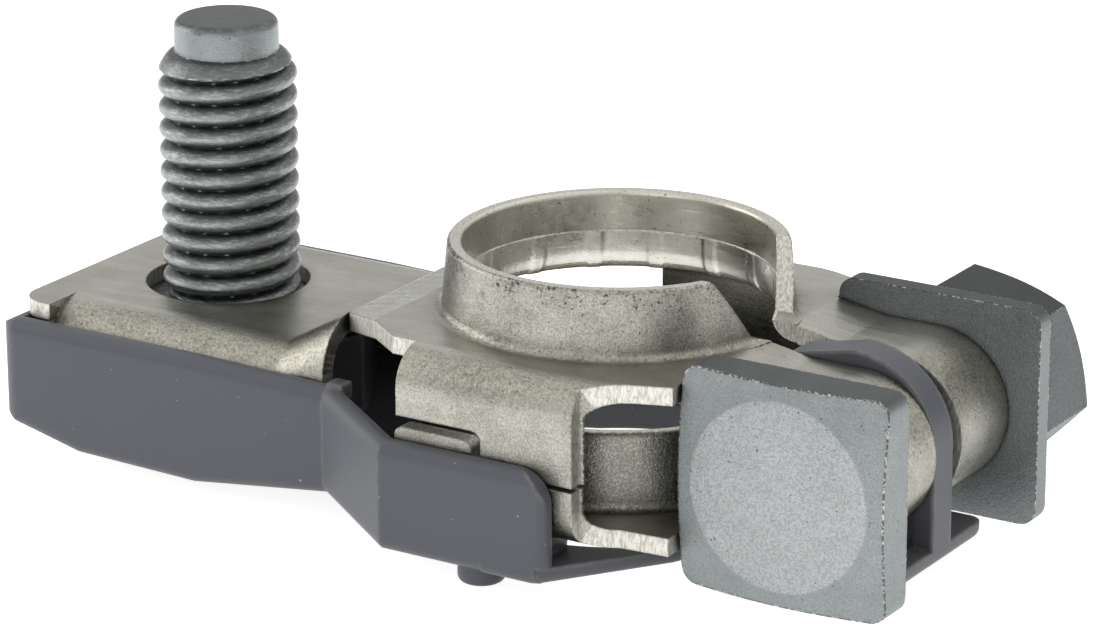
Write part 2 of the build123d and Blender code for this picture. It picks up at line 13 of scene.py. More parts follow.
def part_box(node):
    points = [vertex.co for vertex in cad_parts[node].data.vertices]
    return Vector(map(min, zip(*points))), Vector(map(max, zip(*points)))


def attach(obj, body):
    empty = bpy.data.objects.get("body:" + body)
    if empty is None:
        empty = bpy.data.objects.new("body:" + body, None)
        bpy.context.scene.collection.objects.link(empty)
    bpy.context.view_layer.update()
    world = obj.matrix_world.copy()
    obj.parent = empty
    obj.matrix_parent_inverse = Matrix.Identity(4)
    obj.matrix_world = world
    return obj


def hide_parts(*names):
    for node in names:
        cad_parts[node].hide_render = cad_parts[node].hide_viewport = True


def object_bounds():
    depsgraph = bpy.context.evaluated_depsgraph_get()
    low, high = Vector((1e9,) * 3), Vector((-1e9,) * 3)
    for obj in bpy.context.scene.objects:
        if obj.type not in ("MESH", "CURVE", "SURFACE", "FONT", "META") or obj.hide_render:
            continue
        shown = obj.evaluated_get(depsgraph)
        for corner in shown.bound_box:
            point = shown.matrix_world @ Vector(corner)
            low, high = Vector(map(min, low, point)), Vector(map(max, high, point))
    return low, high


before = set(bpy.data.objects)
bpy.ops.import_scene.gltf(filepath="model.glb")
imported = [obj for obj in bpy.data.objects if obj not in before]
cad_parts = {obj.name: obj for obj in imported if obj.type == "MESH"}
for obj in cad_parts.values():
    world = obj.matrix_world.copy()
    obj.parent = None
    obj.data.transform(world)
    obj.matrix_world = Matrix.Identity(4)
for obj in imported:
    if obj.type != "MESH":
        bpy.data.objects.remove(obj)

bl_info = {
    "name": "Battery terminal clamp",
    "version": (1, 0, 0),
    "blender": (4, 5, 0),
    "location": "View3D > Sidebar > Clamp",
    "description": "Finishes, threads and studio for a clamp that grips a battery post",
    "category": "Object",
}

MM = 0.001
SHEET = 1.0             # thickness of the strip, mm
SHARP_ANGLE = math.radians(32)  # edges that turn further than this stay crisp
STEPS_PER_PITCH = 16    # rows of mesh to one turn of a thread
CREST_SHARE = 0.90      # half the pitch of a rolled thread, as a share of the radius of its round crest
FRONT_LEVEL = 0.40      # brightness of the room in front,
BACK_LEVEL = 0.54       # behind,
OVERHEAD_SHARE = 1.9    # and overhead, as a share of these
FLOOR_GLOW = 0.85       # how far the table is lifted to white for the camera and in metal
LOWER_RIM = -7.8        # rim of the lower collar, mm
COLLAR_REACH = 10.6     # radius that holds both collars, mm
BOLT_X, BOLT_Z = 15.7, -8.65  # axis of the clamp bolt, mm
PAD_R = 5.2             # round coined pad of the bolt's head, mm
BORE_R = 8.5            # radius of the bore at the top of its grip, mm
BORE_TAPER = 1 / 18     # growth of that radius per millimetre down
GRIP_TOP = -2.2         # height where the grip starts, mm
DRAW_R = 1.4            # radius of the sheet's turn into the bore, mm
DRAW_TOP = -3.4         # height where that turn starts, mm
RIB_COUNT = 16          # grip ribs to a full turn
RIB_PHASE = 0.79        # place of the first rib, in rib pitches from +X
GRIP_HALF_GAP = 27      # half the opening between the grip's ends, degrees

for factory_object in ("Cube", "Camera", "Light"):
    if factory_object in bpy.data.objects:
        bpy.data.objects.remove(bpy.data.objects[factory_object])
CAD_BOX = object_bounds()


# ---------------------------------------------------------------- helpers
def linear(code):
    """A linear colour from an sRGB hex code."""
    parts = [int(code[i:i + 2], 16) / 255 for i in (1, 3, 5)]
    return tuple(p / 12.92 if p <= 0.04045 else ((p + 0.055) / 1.055) ** 2.4 for p in parts)


def shade(colour, factor):
    """A colour made lighter or darker, kept within 0 to 1."""
    return tuple(min(1.0, c * factor) for c in colour)


def per_mm(size):
    """Texture scale, in cycles a metre, for a pattern whose features are size millimetres across."""
    return 1 / (size * MM)


def add(tree, kind, inputs=(), output=0, **settings):
    """Adds a node with its settings, sets or links its inputs by place or name, and gives one output."""
    made = tree.nodes.new("ShaderNode" + kind)
    for key, value in settings.items():
        setattr(made, key, value)
    for key, value in inputs.items() if isinstance(inputs, dict) else enumerate(inputs):
        socket = made.inputs[key]
        if isinstance(value, bpy.types.NodeSocket):
            tree.links.new(value, socket)
        elif socket.type == "RGBA":
            socket.default_value = (*value, 1.0)
        else:
            socket.default_value = value
    return made.outputs[output] if made.outputs else None


def start_material(name):
    """A new Principled material; gives the material, its tree, shader and object coordinates."""
    material = bpy.data.materials.new(name)
    material.use_nodes = True
    tree = material.node_tree
    tree.nodes.clear()
    surface = add(tree, "BsdfPrincipled")
    add(tree, "OutputMaterial", [surface])
    return material, tree, surface.node, add(tree, "TexCoord", output="Object")


def coats(tree, base, *layers):
    """Lays coats over a base colour in order, each a mask and a colour."""
    for mask, colour in layers:
        base = add(tree, "Mix", {0: mask, 6: base, 7: colour}, output=2, data_type="RGBA")
    return base


def product(tree, *masks):
    """Masks and shares multiplied together."""
    result = masks[0]
    for mask in masks[1:]:
        result = add(tree, "Math", [result, mask], operation="MULTIPLY")
    return result


def edge_mask(tree, rounded, low, high):
    """0 on open faces, rising to 1 along edges: how far the rounded normal turns from the face's own."""
    own = add(tree, "NewGeometry", output="Normal")
    alike = add(tree, "VectorMath", [rounded, own], output="Value", operation="DOT_PRODUCT")
    return add(tree, "MapRange", [alike, 1 - low, 1 - high])


def upward(tree):
    """How far the surface looks up: 1 when level and facing up, 0 when upright, -1 facing down."""
    return add(tree, "SeparateXYZ", [add(tree, "NewGeometry", output="Normal")], output="Z")


def bend_mask(tree):
    """1 where the sheet turns between level and upright, 0 where it is either."""
    up = upward(tree)
    level = product(tree, up, up)
    upright = add(tree, "Math", [1.0, level], operation="SUBTRACT")
    return add(tree, "MapRange", [product(tree, level, upright), 0.02, 0.2])


def crevice_mask(tree, reach):
    """1 in corners that other surfaces close in within reach millimetres, 0 in the open: where dirt and
    painted shade are laid.
    """
    open_part = add(tree, "AmbientOcclusion", {"Distance": reach * MM}, output="AO", samples=4)
    return add(tree, "MapRange", [open_part, 0.85, 0.35])


def distance_from(tree, coords, x, z=None):
    """Distance in metres from the post's axis, or with z from an axis along Y, both places in millimetres."""
    at = (x * MM, 0, 0) if z is None else (x * MM, 0, z * MM)
    keep = (1, 1, 0) if z is None else (1, 0, 1)
    moved = add(tree, "VectorMath", [coords, at], operation="SUBTRACT")
    flat = add(tree, "VectorMath", [moved, keep], operation="MULTIPLY")
    return add(tree, "VectorMath", [flat], output="Value", operation="LENGTH")


def relief(tree, shader, height, depth, strength, rounded):
    """Bump of a depth in millimetres over edges softened to the rounded normal."""
    bumped = add(tree, "Bump", {
        "Strength": strength, "Distance": depth * MM, "Height": height, "Normal": rounded,
    })
    tree.links.new(bumped, shader.inputs["Normal"])


def mesh_from(name, rings):
    """A closed mesh through rings of equally many points, its two ends capped."""
    count = len(rings[0])
    points = [p for ring in rings for p in ring]
    faces = []
    for i in range(len(rings) - 1):
        for j in range(count):
            k = (j + 1) % count
            faces.append((i * count + j, i * count + k, (i + 1) * count + k, (i + 1) * count + j))
    faces.append(tuple(reversed(range(count))))
    faces.append(tuple(range(len(points) - count, len(points))))
    mesh = bpy.data.meshes.new(name)
    mesh.from_pydata(points, [], faces)
    mesh.validate()
    return mesh


def smooth(mesh):
    """Smooth shading that keeps the sharp edges."""
    mesh.shade_smooth()
    mesh.set_sharp_from_angle(angle=SHARP_ANGLE)


def put_on_clamp(mesh, stands_for=None):
    """Links a mesh as a piece that rides on the clamp, and stands for a CAD node where one is named."""
    piece = bpy.data.objects.new(mesh.name, mesh)
    bpy.context.scene.collection.objects.link(piece)
    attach(piece, "clamp")
    if stands_for:
        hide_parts(stands_for)


def circle(radius, z, angles):
    """Points of a level circle at given angles."""
    return [(radius * math.cos(a), radius * math.sin(a), z) for a in angles]


def rounded_polygon(sides, apothem, corner, turn=0.0):
    """Plan points of a regular polygon with rounded corners: six to a corner, eight to a flat."""
    corner_steps, flat_steps = 5, 9
    half = math.pi / sides
    inner = (apothem - corner) / math.cos(half)
    points = []
    for side in range(sides):
        at = turn + 2 * half * side
        for step in range(corner_steps + 1):
            a = at - half + 2 * half * step / corner_steps
            points.append((
                inner * math.cos(at) + corner * math.cos(a), inner * math.sin(at) + corner * math.sin(a),
            ))
        start = Vector(points[-1])
        following = at + 2 * half
        end = Vector((
            inner * math.cos(following) + corner * math.cos(at + half),
            inner * math.sin(following) + corner * math.sin(at + half),
        ))
        points += [tuple(start.lerp(end, k / flat_steps)) for k in range(1, flat_steps)]
    return points


def thread_depth(phase):
    """Depth of a rolled thread, 0 on its round crest and 1 in its narrow root, for a phase from 0 to 1."""
    from_crest = abs(phase - round(phase)) * 2 * CREST_SHARE
    return (1 - math.sqrt(1 - from_crest ** 2)) / (1 - math.sqrt(1 - CREST_SHARE ** 2))


def threaded(radius, pitch, depth, low, high, crest_z, crest_angle, envelope, angles):
    """Rings of a right-hand thread between two heights, kept inside an envelope radius."""
    rows = math.ceil((high - low) / pitch * STEPS_PER_PITCH)
    rings = []
    for row in range(rows + 1):
        z = low + (high - low) * row / rows
        ring = []
        for a in angles:
            phase = (z - crest_z) / pitch - (a - crest_angle) / (2 * math.pi)
            r = min(radius - depth * thread_depth(phase % 1.0), envelope(z))
            ring.append((r * math.cos(a), r * math.sin(a), z))
        rings.append(ring)
    return rings


# ---------------------------------------------------------------- settings
class ClampColours(bpy.types.PropertyGroup):
    """Colours of the finishes."""

    tin: bpy.props.FloatVectorProperty(
        name="Tin plating", description="Matt tin over the folded strip", subtype="COLOR",
        default=linear("#B8B6AC"), min=0, max=1,
    )
    sheared: bpy.props.FloatVectorProperty(
        name="Sheared edge", description="Bare metal where the strip was blanked", subtype="COLOR",
        default=linear("#DEDCD4"), min=0, max=1,
    )
    zinc: bpy.props.FloatVectorProperty(
        name="Zinc flake", description="Dipped and cured coating of the fasteners", subtype="COLOR",
        default=linear("#B2B8B9"), min=0, max=1,
    )
    nylon: bpy.props.FloatVectorProperty(
        name="Tray", description="Moulded nylon of the tray", subtype="COLOR",
        default=linear("#575960"), min=0, max=1,
    )


class ClampSizes(bpy.types.PropertyGroup):
    """Sizes that the solids leave to the looks."""

    stud_pitch: bpy.props.FloatProperty(
        name="Stud pitch", description="Coarse pitch of the 8 mm stud", default=1.25 * MM, unit="LENGTH",
    )
    stud_crest: bpy.props.FloatProperty(
        name="Stud crest radius", description="Rolled crests of the stud", default=3.94 * MM, unit="LENGTH",
    )
    stud_depth: bpy.props.FloatProperty(
        name="Stud thread depth", description="Crest to root", default=0.68 * MM, unit="LENGTH",
    )
    bolt_pitch: bpy.props.FloatProperty(
        name="Bolt pitch", description="Coarse pitch of the 6 mm bolt", default=1.0 * MM, unit="LENGTH",
    )
    bolt_depth: bpy.props.FloatProperty(
        name="Bolt thread depth", description="Crest to root", default=0.56 * MM, unit="LENGTH",
    )


# ---------------------------------------------------------------- finishes
def tin_plated_strip(name, colour):
    """Matt tin electroplate on rolled strip, then folded and drawn.

    Flat faces stay a satin warm grey with soft clouds and rolling lines. Where the strip was folded or drawn
    it is roughened to a grit with painted glints, straw-coloured on the folds with a painted highlight there,
    with dark pores that crowd under the collar's rim, and stained in patches, with painted shade over its
    sloped and upright faces. Painted shade darkens the lower collar, the punch has burnished the bore and
    a painted highlight lightens it further, and dirt with painted shade darkens the corners.
    """
    material, tree, shader, coords = start_material(name)
    height = add(tree, "SeparateXYZ", [coords], output="Z")
    up = upward(tree)
    cloud = add(tree, "TexNoise", {"Vector": coords, "Scale": per_mm(4.0), "Detail": 5.0, "Roughness": 0.6})
    grain = add(tree, "TexNoise", {"Vector": coords, "Scale": per_mm(0.11), "Detail": 2.0, "Roughness": 0.6})
    pore = add(tree, "TexNoise", {"Vector": coords, "Scale": per_mm(0.2), "Detail": 4.0, "Roughness": 0.7})
    patch = add(tree, "TexNoise", {"Vector": coords, "Scale": per_mm(2.2), "Detail": 4.0, "Roughness": 0.65})
    rolled = add(tree, "Mapping", {"Vector": coords, "Scale": (0.12, 1.0, 1.0)})
    streak = add(tree, "TexNoise", {"Vector": rolled, "Scale": per_mm(0.5), "Detail": 4.0, "Roughness": 0.6})

    # where on the clamp
    from_post = distance_from(tree, coords, 0)
    in_collar = add(tree, "Math", [from_post, COLLAR_REACH * MM], operation="LESS_THAN")
    in_bore = add(tree, "Math", [from_post, (BORE_R + 0.25) * MM], operation="LESS_THAN")
    not_level = add(tree, "MapRange", [product(tree, up, up), 0.985, 0.9])
    drawn = product(tree, not_level, add(tree, "Math", [in_bore, -0.8, 1.0], operation="MULTIPLY_ADD"))
    near_rim = add(tree, "MapRange", [height, -2.0 * MM, -0.6 * MM])
    crowded = product(tree, in_collar, near_rim, add(tree, "MapRange", [patch, 0.4, 0.55]), drawn)
    # the lower collar below its rim, for painted shade
    below = add(tree, "MapRange", [height, (LOWER_RIM + 0.3) * MM, (LOWER_RIM - 0.2) * MM])
    stain_and_shade = add(tree, "MapRange", [patch, 0.42, 0.62, 0.25, 0.75])
    dim = add(tree, "Math", [in_collar, 0.1, stain_and_shade], operation="MULTIPLY_ADD")
    crowd = add(tree, "Math", [product(tree, drawn, 0.1), crowded], operation="MAXIMUM")
    pitted = add(tree, "Math", [crowd, -0.10, pore], operation="MULTIPLY_ADD")

    rounded = add(tree, "Bevel", {"Radius": 0.15 * MM}, samples=4)
    edge = edge_mask(tree, rounded, 0.01, 0.15)
    # dirt and painted shade in corners that other surfaces close in, in patches
    grime_and_shade = product(tree, crevice_mask(tree, 1.4), add(tree, "MapRange", [patch, 0.3, 0.6, 0.5, 0.95]))
    finish = coats(
        tree, shade(colour, 0.80),
        # clouds, rolling lines, and the bore lighter: burnished, and a painted highlight on its inner wall
        (add(tree, "MapRange", [cloud, 0.3, 0.7]), shade(colour, 1.12)),
        (add(tree, "MapRange", [streak, 0.35, 0.65, 0.0, 0.25]), shade(colour, 0.66)),
        (product(tree, in_bore, 0.9), shade(colour, 1.7)),
        # stained patches and painted shade on the sloped and upright faces, painted shade on the lower collar
        (product(tree, drawn, dim), shade(colour, 0.55)),
        (product(tree, in_collar, below, 0.65), shade(colour, 0.38)),
        # painted glints in the grit, straw tint with a painted highlight on the folds, dark grit, pores
        (product(tree, drawn, add(tree, "MapRange", [grain, 0.50, 0.64, 0.0, 0.25])), linear("#DDDBCF")),
        (product(tree, bend_mask(tree), add(tree, "MapRange", [pore, 0.46, 0.60]), 0.45), linear("#DFD8BD")),
        (product(tree, drawn, add(tree, "MapRange", [grain, 0.48, 0.36, 0.0, 0.3])), linear("#57544A")),
        (add(tree, "MapRange", [pitted, 0.36, 0.31, 0.0, 0.85]), linear("#2E2C26")),
        # edges: dark where dirt holds, bright where they rub
        (product(tree, edge, add(tree, "MapRange", [pore, 0.54, 0.44]), 0.85), linear("#3A382F")),
        (product(tree, edge, add(tree, "MapRange", [pore, 0.52, 0.60]), 0.6), linear("#ECE7D6")),
        # dirt and painted shade in the corners
        (grime_and_shade, linear("#24221C")),
    )
    tree.links.new(finish, shader.inputs["Base Color"])
    shader.inputs["Metallic"].default_value = 1.0
    satin = add(tree, "MapRange", [streak, 0.3, 0.7, 0.25, 0.38])
    tree.links.new(
        add(tree, "Math", [grime_and_shade, 0.3, satin], operation="MULTIPLY_ADD"), shader.inputs["Roughness"],
    )
    grit = add(tree, "Math", [grain, pore], operation="ADD")
    gritty = product(tree, add(tree, "Math", [drawn, 0.85, 0.15], operation="MULTIPLY_ADD"), grit)
    relief(tree, shader, add(tree, "Math", [gritty, streak], operation="ADD"), 0.025, 0.9, rounded)
    return material


def sheared_edge(colour):
    """Blanked edge of the strip: light bare metal, finely scored across the sheet, torn darker in places."""
    material, tree, shader, coords = start_material("sheared_strip_edge")
    across = add(tree, "Mapping", {"Vector": coords, "Scale": (1.0, 1.0, 0.25)})
    score = add(tree, "TexNoise", {"Vector": across, "Scale": per_mm(0.14), "Detail": 4.0, "Roughness": 0.7})
    tear = add(tree, "TexNoise", {"Vector": coords, "Scale": per_mm(0.3), "Detail": 5.0, "Roughness": 0.7})
    rounded = add(tree, "Bevel", {"Radius": 0.15 * MM}, samples=4)
    edge = edge_mask(tree, rounded, 0.02, 0.2)
    finish = coats(
        tree, linear("#B3B0A4"),
        (add(tree, "MapRange", [score, 0.38, 0.56]), colour),
        (add(tree, "MapRange", [tear, 0.56, 0.70, 0.0, 0.5]), linear("#6B675B")),
        (product(tree, edge, add(tree, "MapRange", [tear, 0.52, 0.44]), 0.8), linear("#37342B")),
        # dirt and painted shade in the corners
        (product(tree, crevice_mask(tree, 0.6), 0.7), linear("#24221C")),
    )
    tree.links.new(finish, shader.inputs["Base Color"])
    shader.inputs["Metallic"].default_value = 1.0
    shader.inputs["Roughness"].default_value = 0.45
    relief(tree, shader, add(tree, "Math", [score, tear], operation="ADD"), 0.04, 0.8, rounded)
    return material


def zinc_flake_steel(name, colour, roughness, pad_share=0.0, crest=None, edge_radius=0.12):
    """Zinc-flake dip on cold-headed steel.

    A dense bluish grey with a fine sandy grain and small dark pinholes. Edges, softened by a radius in
    millimetres, show a dark line with bright rubbed chips, painted shade darkens what faces up, unevenly in
    clouds, and dirt with painted shade darkens the corners. With a pad share, the coined round pad in the
    middle of the bolt's head is lighter than the rest by that share, partly as a painted highlight. With a
    crest, the axis and radius of a thread's crests in millimetres, these are rubbed to pale streaks along the
    thread, which are partly painted highlights.
    """
    material, tree, shader, coords = start_material(name)
    sand = add(tree, "TexNoise", {"Vector": coords, "Scale": per_mm(0.10), "Detail": 2.0, "Roughness": 0.6})
    dimple = add(tree, "TexNoise", {"Vector": coords, "Scale": per_mm(0.28), "Detail": 3.0, "Roughness": 0.6})
    cloud = add(tree, "TexNoise", {"Vector": coords, "Scale": per_mm(2.5), "Detail": 5.0, "Roughness": 0.65})
    rolled = add(tree, "Mapping", {"Vector": coords, "Scale": (0.3, 0.3, 1.6) if crest else (1, 1, 1)})
    chip = add(tree, "TexNoise", {"Vector": rolled, "Scale": per_mm(0.16), "Detail": 3.0, "Roughness": 0.6})

    from_bolt = distance_from(tree, coords, BOLT_X, BOLT_Z)
    pad = add(tree, "MapRange", [from_bolt, (PAD_R + 0.05) * MM, (PAD_R - 0.1) * MM, 0.0, pad_share])
    grain_share, grime_and_shade_share = (0.2, 0.55) if crest else (0.45, 0.85)
    rounded = add(tree, "Bevel", {"Radius": edge_radius * MM}, samples=4)
    crevice = crevice_mask(tree, 0.3)
    edge = edge_mask(tree, rounded, 0.004, 0.08)
    # what faces up, darkened below as painted shade
    top = add(tree, "MapRange", [upward(tree), 0.3, 0.8])
    wear_and_highlight = edge
    # rubbed crests and folds of a thread, partly wear and partly painted highlights
    if crest:
        axis, crest_r = crest
        from_axis = distance_from(tree, coords, axis)
        crest_wear_and_highlight = add(tree, "MapRange", [from_axis, (crest_r - 0.3) * MM, (crest_r - 0.1) * MM, 0.0, 0.22])
        for share in (crest_wear_and_highlight, product(tree, bend_mask(tree), 0.1)):
            wear_and_highlight = add(tree, "Math", [wear_and_highlight, share], operation="MAXIMUM")
    in_open = add(tree, "Math", [1.0, crevice], operation="SUBTRACT")
    finish = coats(
        tree, shade(colour, 0.88),
        (add(tree, "MapRange", [cloud, 0.3, 0.7]), shade(colour, 1.06)),
        # coined pad, lighter: partly its finish, partly a painted highlight
        (pad, linear("#FFFFFF")),
        # sandy grain and pinholes
        (add(tree, "MapRange", [sand, 0.60, 0.38, 0.0, grain_share]), shade(colour, 0.5)),
        (add(tree, "MapRange", [dimple, 0.32, 0.28, 0.0, 0.75]), linear("#34393C")),
        # dark edge line, painted shade on what faces up, pale chips, and rubbed crests partly painted
        # highlights
        (product(tree, edge, 0.92), linear("#2E3336")),
        (product(tree, top, add(tree, "MapRange", [cloud, 0.2, 0.8, 0.65, 0.9])), shade(colour, 0.22)),
        (product(tree, wear_and_highlight, add(tree, "MapRange", [chip, 0.52, 0.57]), in_open), linear("#E4E3D6")),
        # dirt and painted shade in the corners
        (product(tree, crevice, grime_and_shade_share), linear("#1D2226")),
    )
    tree.links.new(finish, shader.inputs["Base Color"])
    shader.inputs["Metallic"].default_value = 0.9
    shader.inputs["Roughness"].default_value = roughness
    relief(tree, shader, add(tree, "Math", [sand, dimple], operation="ADD"), 0.03, 0.9, rounded)
    return material


def moulded_nylon(colour):
    """Glass-filled nylon from a spark-eroded mould.

    An even dark grey with a fine tooth, pale dust specks, paler edges that are rubbed and partly a painted
    highlight, and dirt with painted shade in the corners.
    """
    material, tree, shader, coords = start_material("moulded_nylon")
    cloud = add(tree, "TexNoise", {"Vector": coords, "Scale": per_mm(9.0), "Detail": 2.0, "Roughness": 0.5})
    dust = add(tree, "TexNoise", {"Vector": coords, "Scale": per_mm(0.35), "Detail": 2.0, "Roughness": 0.5})
    rub_and_highlight = add(tree, "TexNoise", {"Vector": coords, "Scale": per_mm(0.8), "Detail": 4.0, "Roughness": 0.7})
    tooth = add(tree, "TexNoise", {"Vector": coords, "Scale": per_mm(0.2), "Detail": 2.0, "Roughness": 0.5})
    rounded = add(tree, "Bevel", {"Radius": 0.4 * MM}, samples=4)
    edge = edge_mask(tree, rounded, 0.005, 0.12)
    finish = coats(
        tree, shade(colour, 0.92),
        (cloud, shade(colour, 1.08)),
        (add(tree, "MapRange", [dust, 0.77, 0.79, 0.0, 0.8]), linear("#C4C5C2")),
        # paler edges: rubbed, and partly a painted highlight along their rounding
        (product(tree, edge, add(tree, "MapRange", [rub_and_highlight, 0.35, 0.6, 0.3, 0.75])), linear("#A8A79C")),
        # dirt and painted shade in the corners
        (product(tree, crevice_mask(tree, 0.6), 0.5), linear("#232323")),
    )
    tree.links.new(finish, shader.inputs["Base Color"])
    shader.inputs["Roughness"].default_value = 0.42
    relief(tree, shader, tooth, 0.02, 0.3, rounded)
    return material


# ---------------------------------------------------------------- pieces
def mark_sheared(mesh):
    """Gives material slot 1 to blanked faces.

    They look along the sheet, so inward from them there is no near far side, or they cut across the round
    collars.
    """
    tree = BVHTree.FromPolygons([v.co for v in mesh.vertices], [p.vertices for p in mesh.polygons])
    near, reach = 1.9 * SHEET * MM, 10 * SHEET * MM
    skin = 0.01 * MM
    for face in mesh.polygons:
        start = face.center - face.normal * skin
        distance = tree.ray_cast(start, -face.normal, reach)[3]
        from_post = face.center.xy.length
        across = abs(face.normal.y * face.center.x - face.normal.x * face.center.y) / max(from_post, MM)
        cut_collar = from_post < COLLAR_REACH * MM and across > 0.5  # turned over 30 degrees along the ring
        if distance is None or distance > near or cut_collar:
            face.material_index = 1


class CLAMP_OT_sheet(bpy.types.Operator):
    """Dresses the folded sheet: tin plating on its faces and bare metal on its sheared edges."""

    bl_idname = "clamp.sheet"
    bl_label = "Clamp body"

    def execute(self, context):
        colours = context.scene.clamp_colours
        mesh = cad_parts["clamp_body"].data.copy()
        mesh.name = "folded_sheet"
        mesh.materials.clear()
        mesh.materials.append(tin_plated_strip("tin_plated_strip", colours.tin))
        mesh.materials.append(sheared_edge(colours.sheared))
        mark_sheared(mesh)
        put_on_clamp(mesh, "clamp_body")
        return {"FINISHED"}


class CLAMP_OT_grip(bpy.types.Operator):
    """Makes the ribbed band coined into the lower part of the bore, which bites on the post."""

    bl_idname = "clamp.grip"
    bl_label = "Grip of the bore"

    def execute(self, context):
        columns = 420                           # steps round the bore
        band_proud, rib_proud = 0.05, 0.06      # how far the band stands inward, and its ribs from it, mm
        sunk, back_rise = -0.12, 0.1            # how deep its back lies in the sheet, and how far up, mm
        rib_half, rib_slope = 0.14, 0.04        # half width of a rib and length of its flank, in rib pitches
        top_step, wall_drop, wall_growth = 0.08, 0.6, 0.03  # the straight part's ends, mm
        bend = [math.radians(a) for a in (0, 18, 36, 54)]
        centre = BORE_R + BORE_TAPER * (GRIP_TOP - DRAW_TOP) + DRAW_R

        def along(inward):
            """Profile of the band, standing inward of the sheet's surface, from the top down."""
            wall = [
                (BORE_R - inward, GRIP_TOP - top_step),
                (BORE_R + wall_growth - inward, GRIP_TOP - wall_drop),
            ]
            turn = DRAW_R + inward
            return wall + [(centre - turn * math.cos(a), DRAW_TOP - turn * math.sin(a)) for a in bend]

        back = along(sunk)
        rings = []
        for column in range(columns + 1):
            a = math.radians(GRIP_HALF_GAP + (360 - 2 * GRIP_HALF_GAP) * column / columns)
            phase = (a * RIB_COUNT / (2 * math.pi) - RIB_PHASE + 0.5) % 1.0
            rib = min(1.0, max(0.0, (rib_half - abs(phase - 0.5)) / rib_slope))
            top = (back[0][0], back[0][1] + back_rise)
            ring = [top] + along(band_proud + rib_proud * rib) + back[::-1]
            rings.append([(r * MM * math.cos(a), r * MM * math.sin(a), z * MM) for r, z in ring])
        mesh = mesh_from("grip_band", rings)
        tin = context.scene.clamp_colours.tin
        mesh.materials.append(tin_plated_strip("tin_burnished_by_the_coining_tool", shade(tin, 1.3)))
        smooth(mesh)
        put_on_clamp(mesh)
        return {"FINISHED"}


class CLAMP_OT_stud(bpy.types.Operator):
    """Makes the terminal stud with its rolled thread, dog point and hexagonal head."""

    bl_idname = "clamp.stud"
    bl_label = "Terminal stud"

    def execute(self, context):
        sizes = context.scene.clamp_sizes
        low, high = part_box("terminal_stud")
        head_top = low.z + 5.3 * MM
        head_half, head_corner = 6.5 * MM, 0.3 * MM
        chamfer, chamfer_share = 0.3 * MM, 0.95     # height of the head's chamfers, and size inside them
        neck_r = 3.6 * MM
        dog_r = 2.95 * MM
        dog_z = high.z - 1.9 * MM
        shoulder = 1.1 * MM                         # height of the round shoulder below the dog point
        start_z = head_top + 0.45 * MM
        run_in = 1.2                                # growth of the thread's radius per height at its start
        crest_z, crest_angle = -2.73 * MM, math.radians(212)    # a point on the crest line
        point_round, point_steps = 0.5 * MM, 6
        centre_r, tip_r = 0.2 * MM, 1.2 * MM        # small rings that the end faces close in
        plan = rounded_polygon(6, head_half, head_corner)
        first = math.atan2(plan[0][1], plan[0][0])
        angles = [2 * math.pi * i / len(plan) + first for i in range(len(plan))]

        def envelope(z):
            """Trims the thread at its start and on the round shoulder below the dog point."""
            rise = neck_r + max(0, z - start_z) * run_in
            fall = dog_r + math.sqrt(max(0, (dog_z - z) / shoulder)) * (sizes.stud_crest - dog_r)
            return min(rise, fall, sizes.stud_crest)

        rings = [circle(centre_r, low.z, angles)]
        for share, z in (
            (chamfer_share, low.z), (1, low.z + chamfer), (1, head_top - chamfer), (chamfer_share, head_top),
        ):
            rings.append([(x * share, y * share, z) for x, y in plan])
        rings.append(circle(neck_r, head_top, angles))
        rings += threaded(
            sizes.stud_crest, sizes.stud_pitch, sizes.stud_depth, start_z, dog_z, crest_z, crest_angle,
            envelope, angles,
        )
        for step in range(point_steps + 1):
            a = math.pi / 2 * step / point_steps
            inset, drop = point_round * (1 - math.cos(a)), point_round * (1 - math.sin(a))
            rings.append(circle(dog_r - inset, high.z - drop, angles))
        rings.append(circle(tip_r, high.z, angles))

        mesh = mesh_from("threaded_stud", rings)
        centre = (low + high) / 2
        mesh.transform(Matrix.Translation((centre.x, centre.y, 0)))
        mesh.materials.append(zinc_flake_steel(
            "zinc_flake_rolled", shade(context.scene.clamp_colours.zinc, 0.62), 0.32,
            crest=(centre.x / MM, sizes.stud_crest / MM),
        ))
        smooth(mesh)
        put_on_clamp(mesh, "terminal_stud")
        return {"FINISHED"}


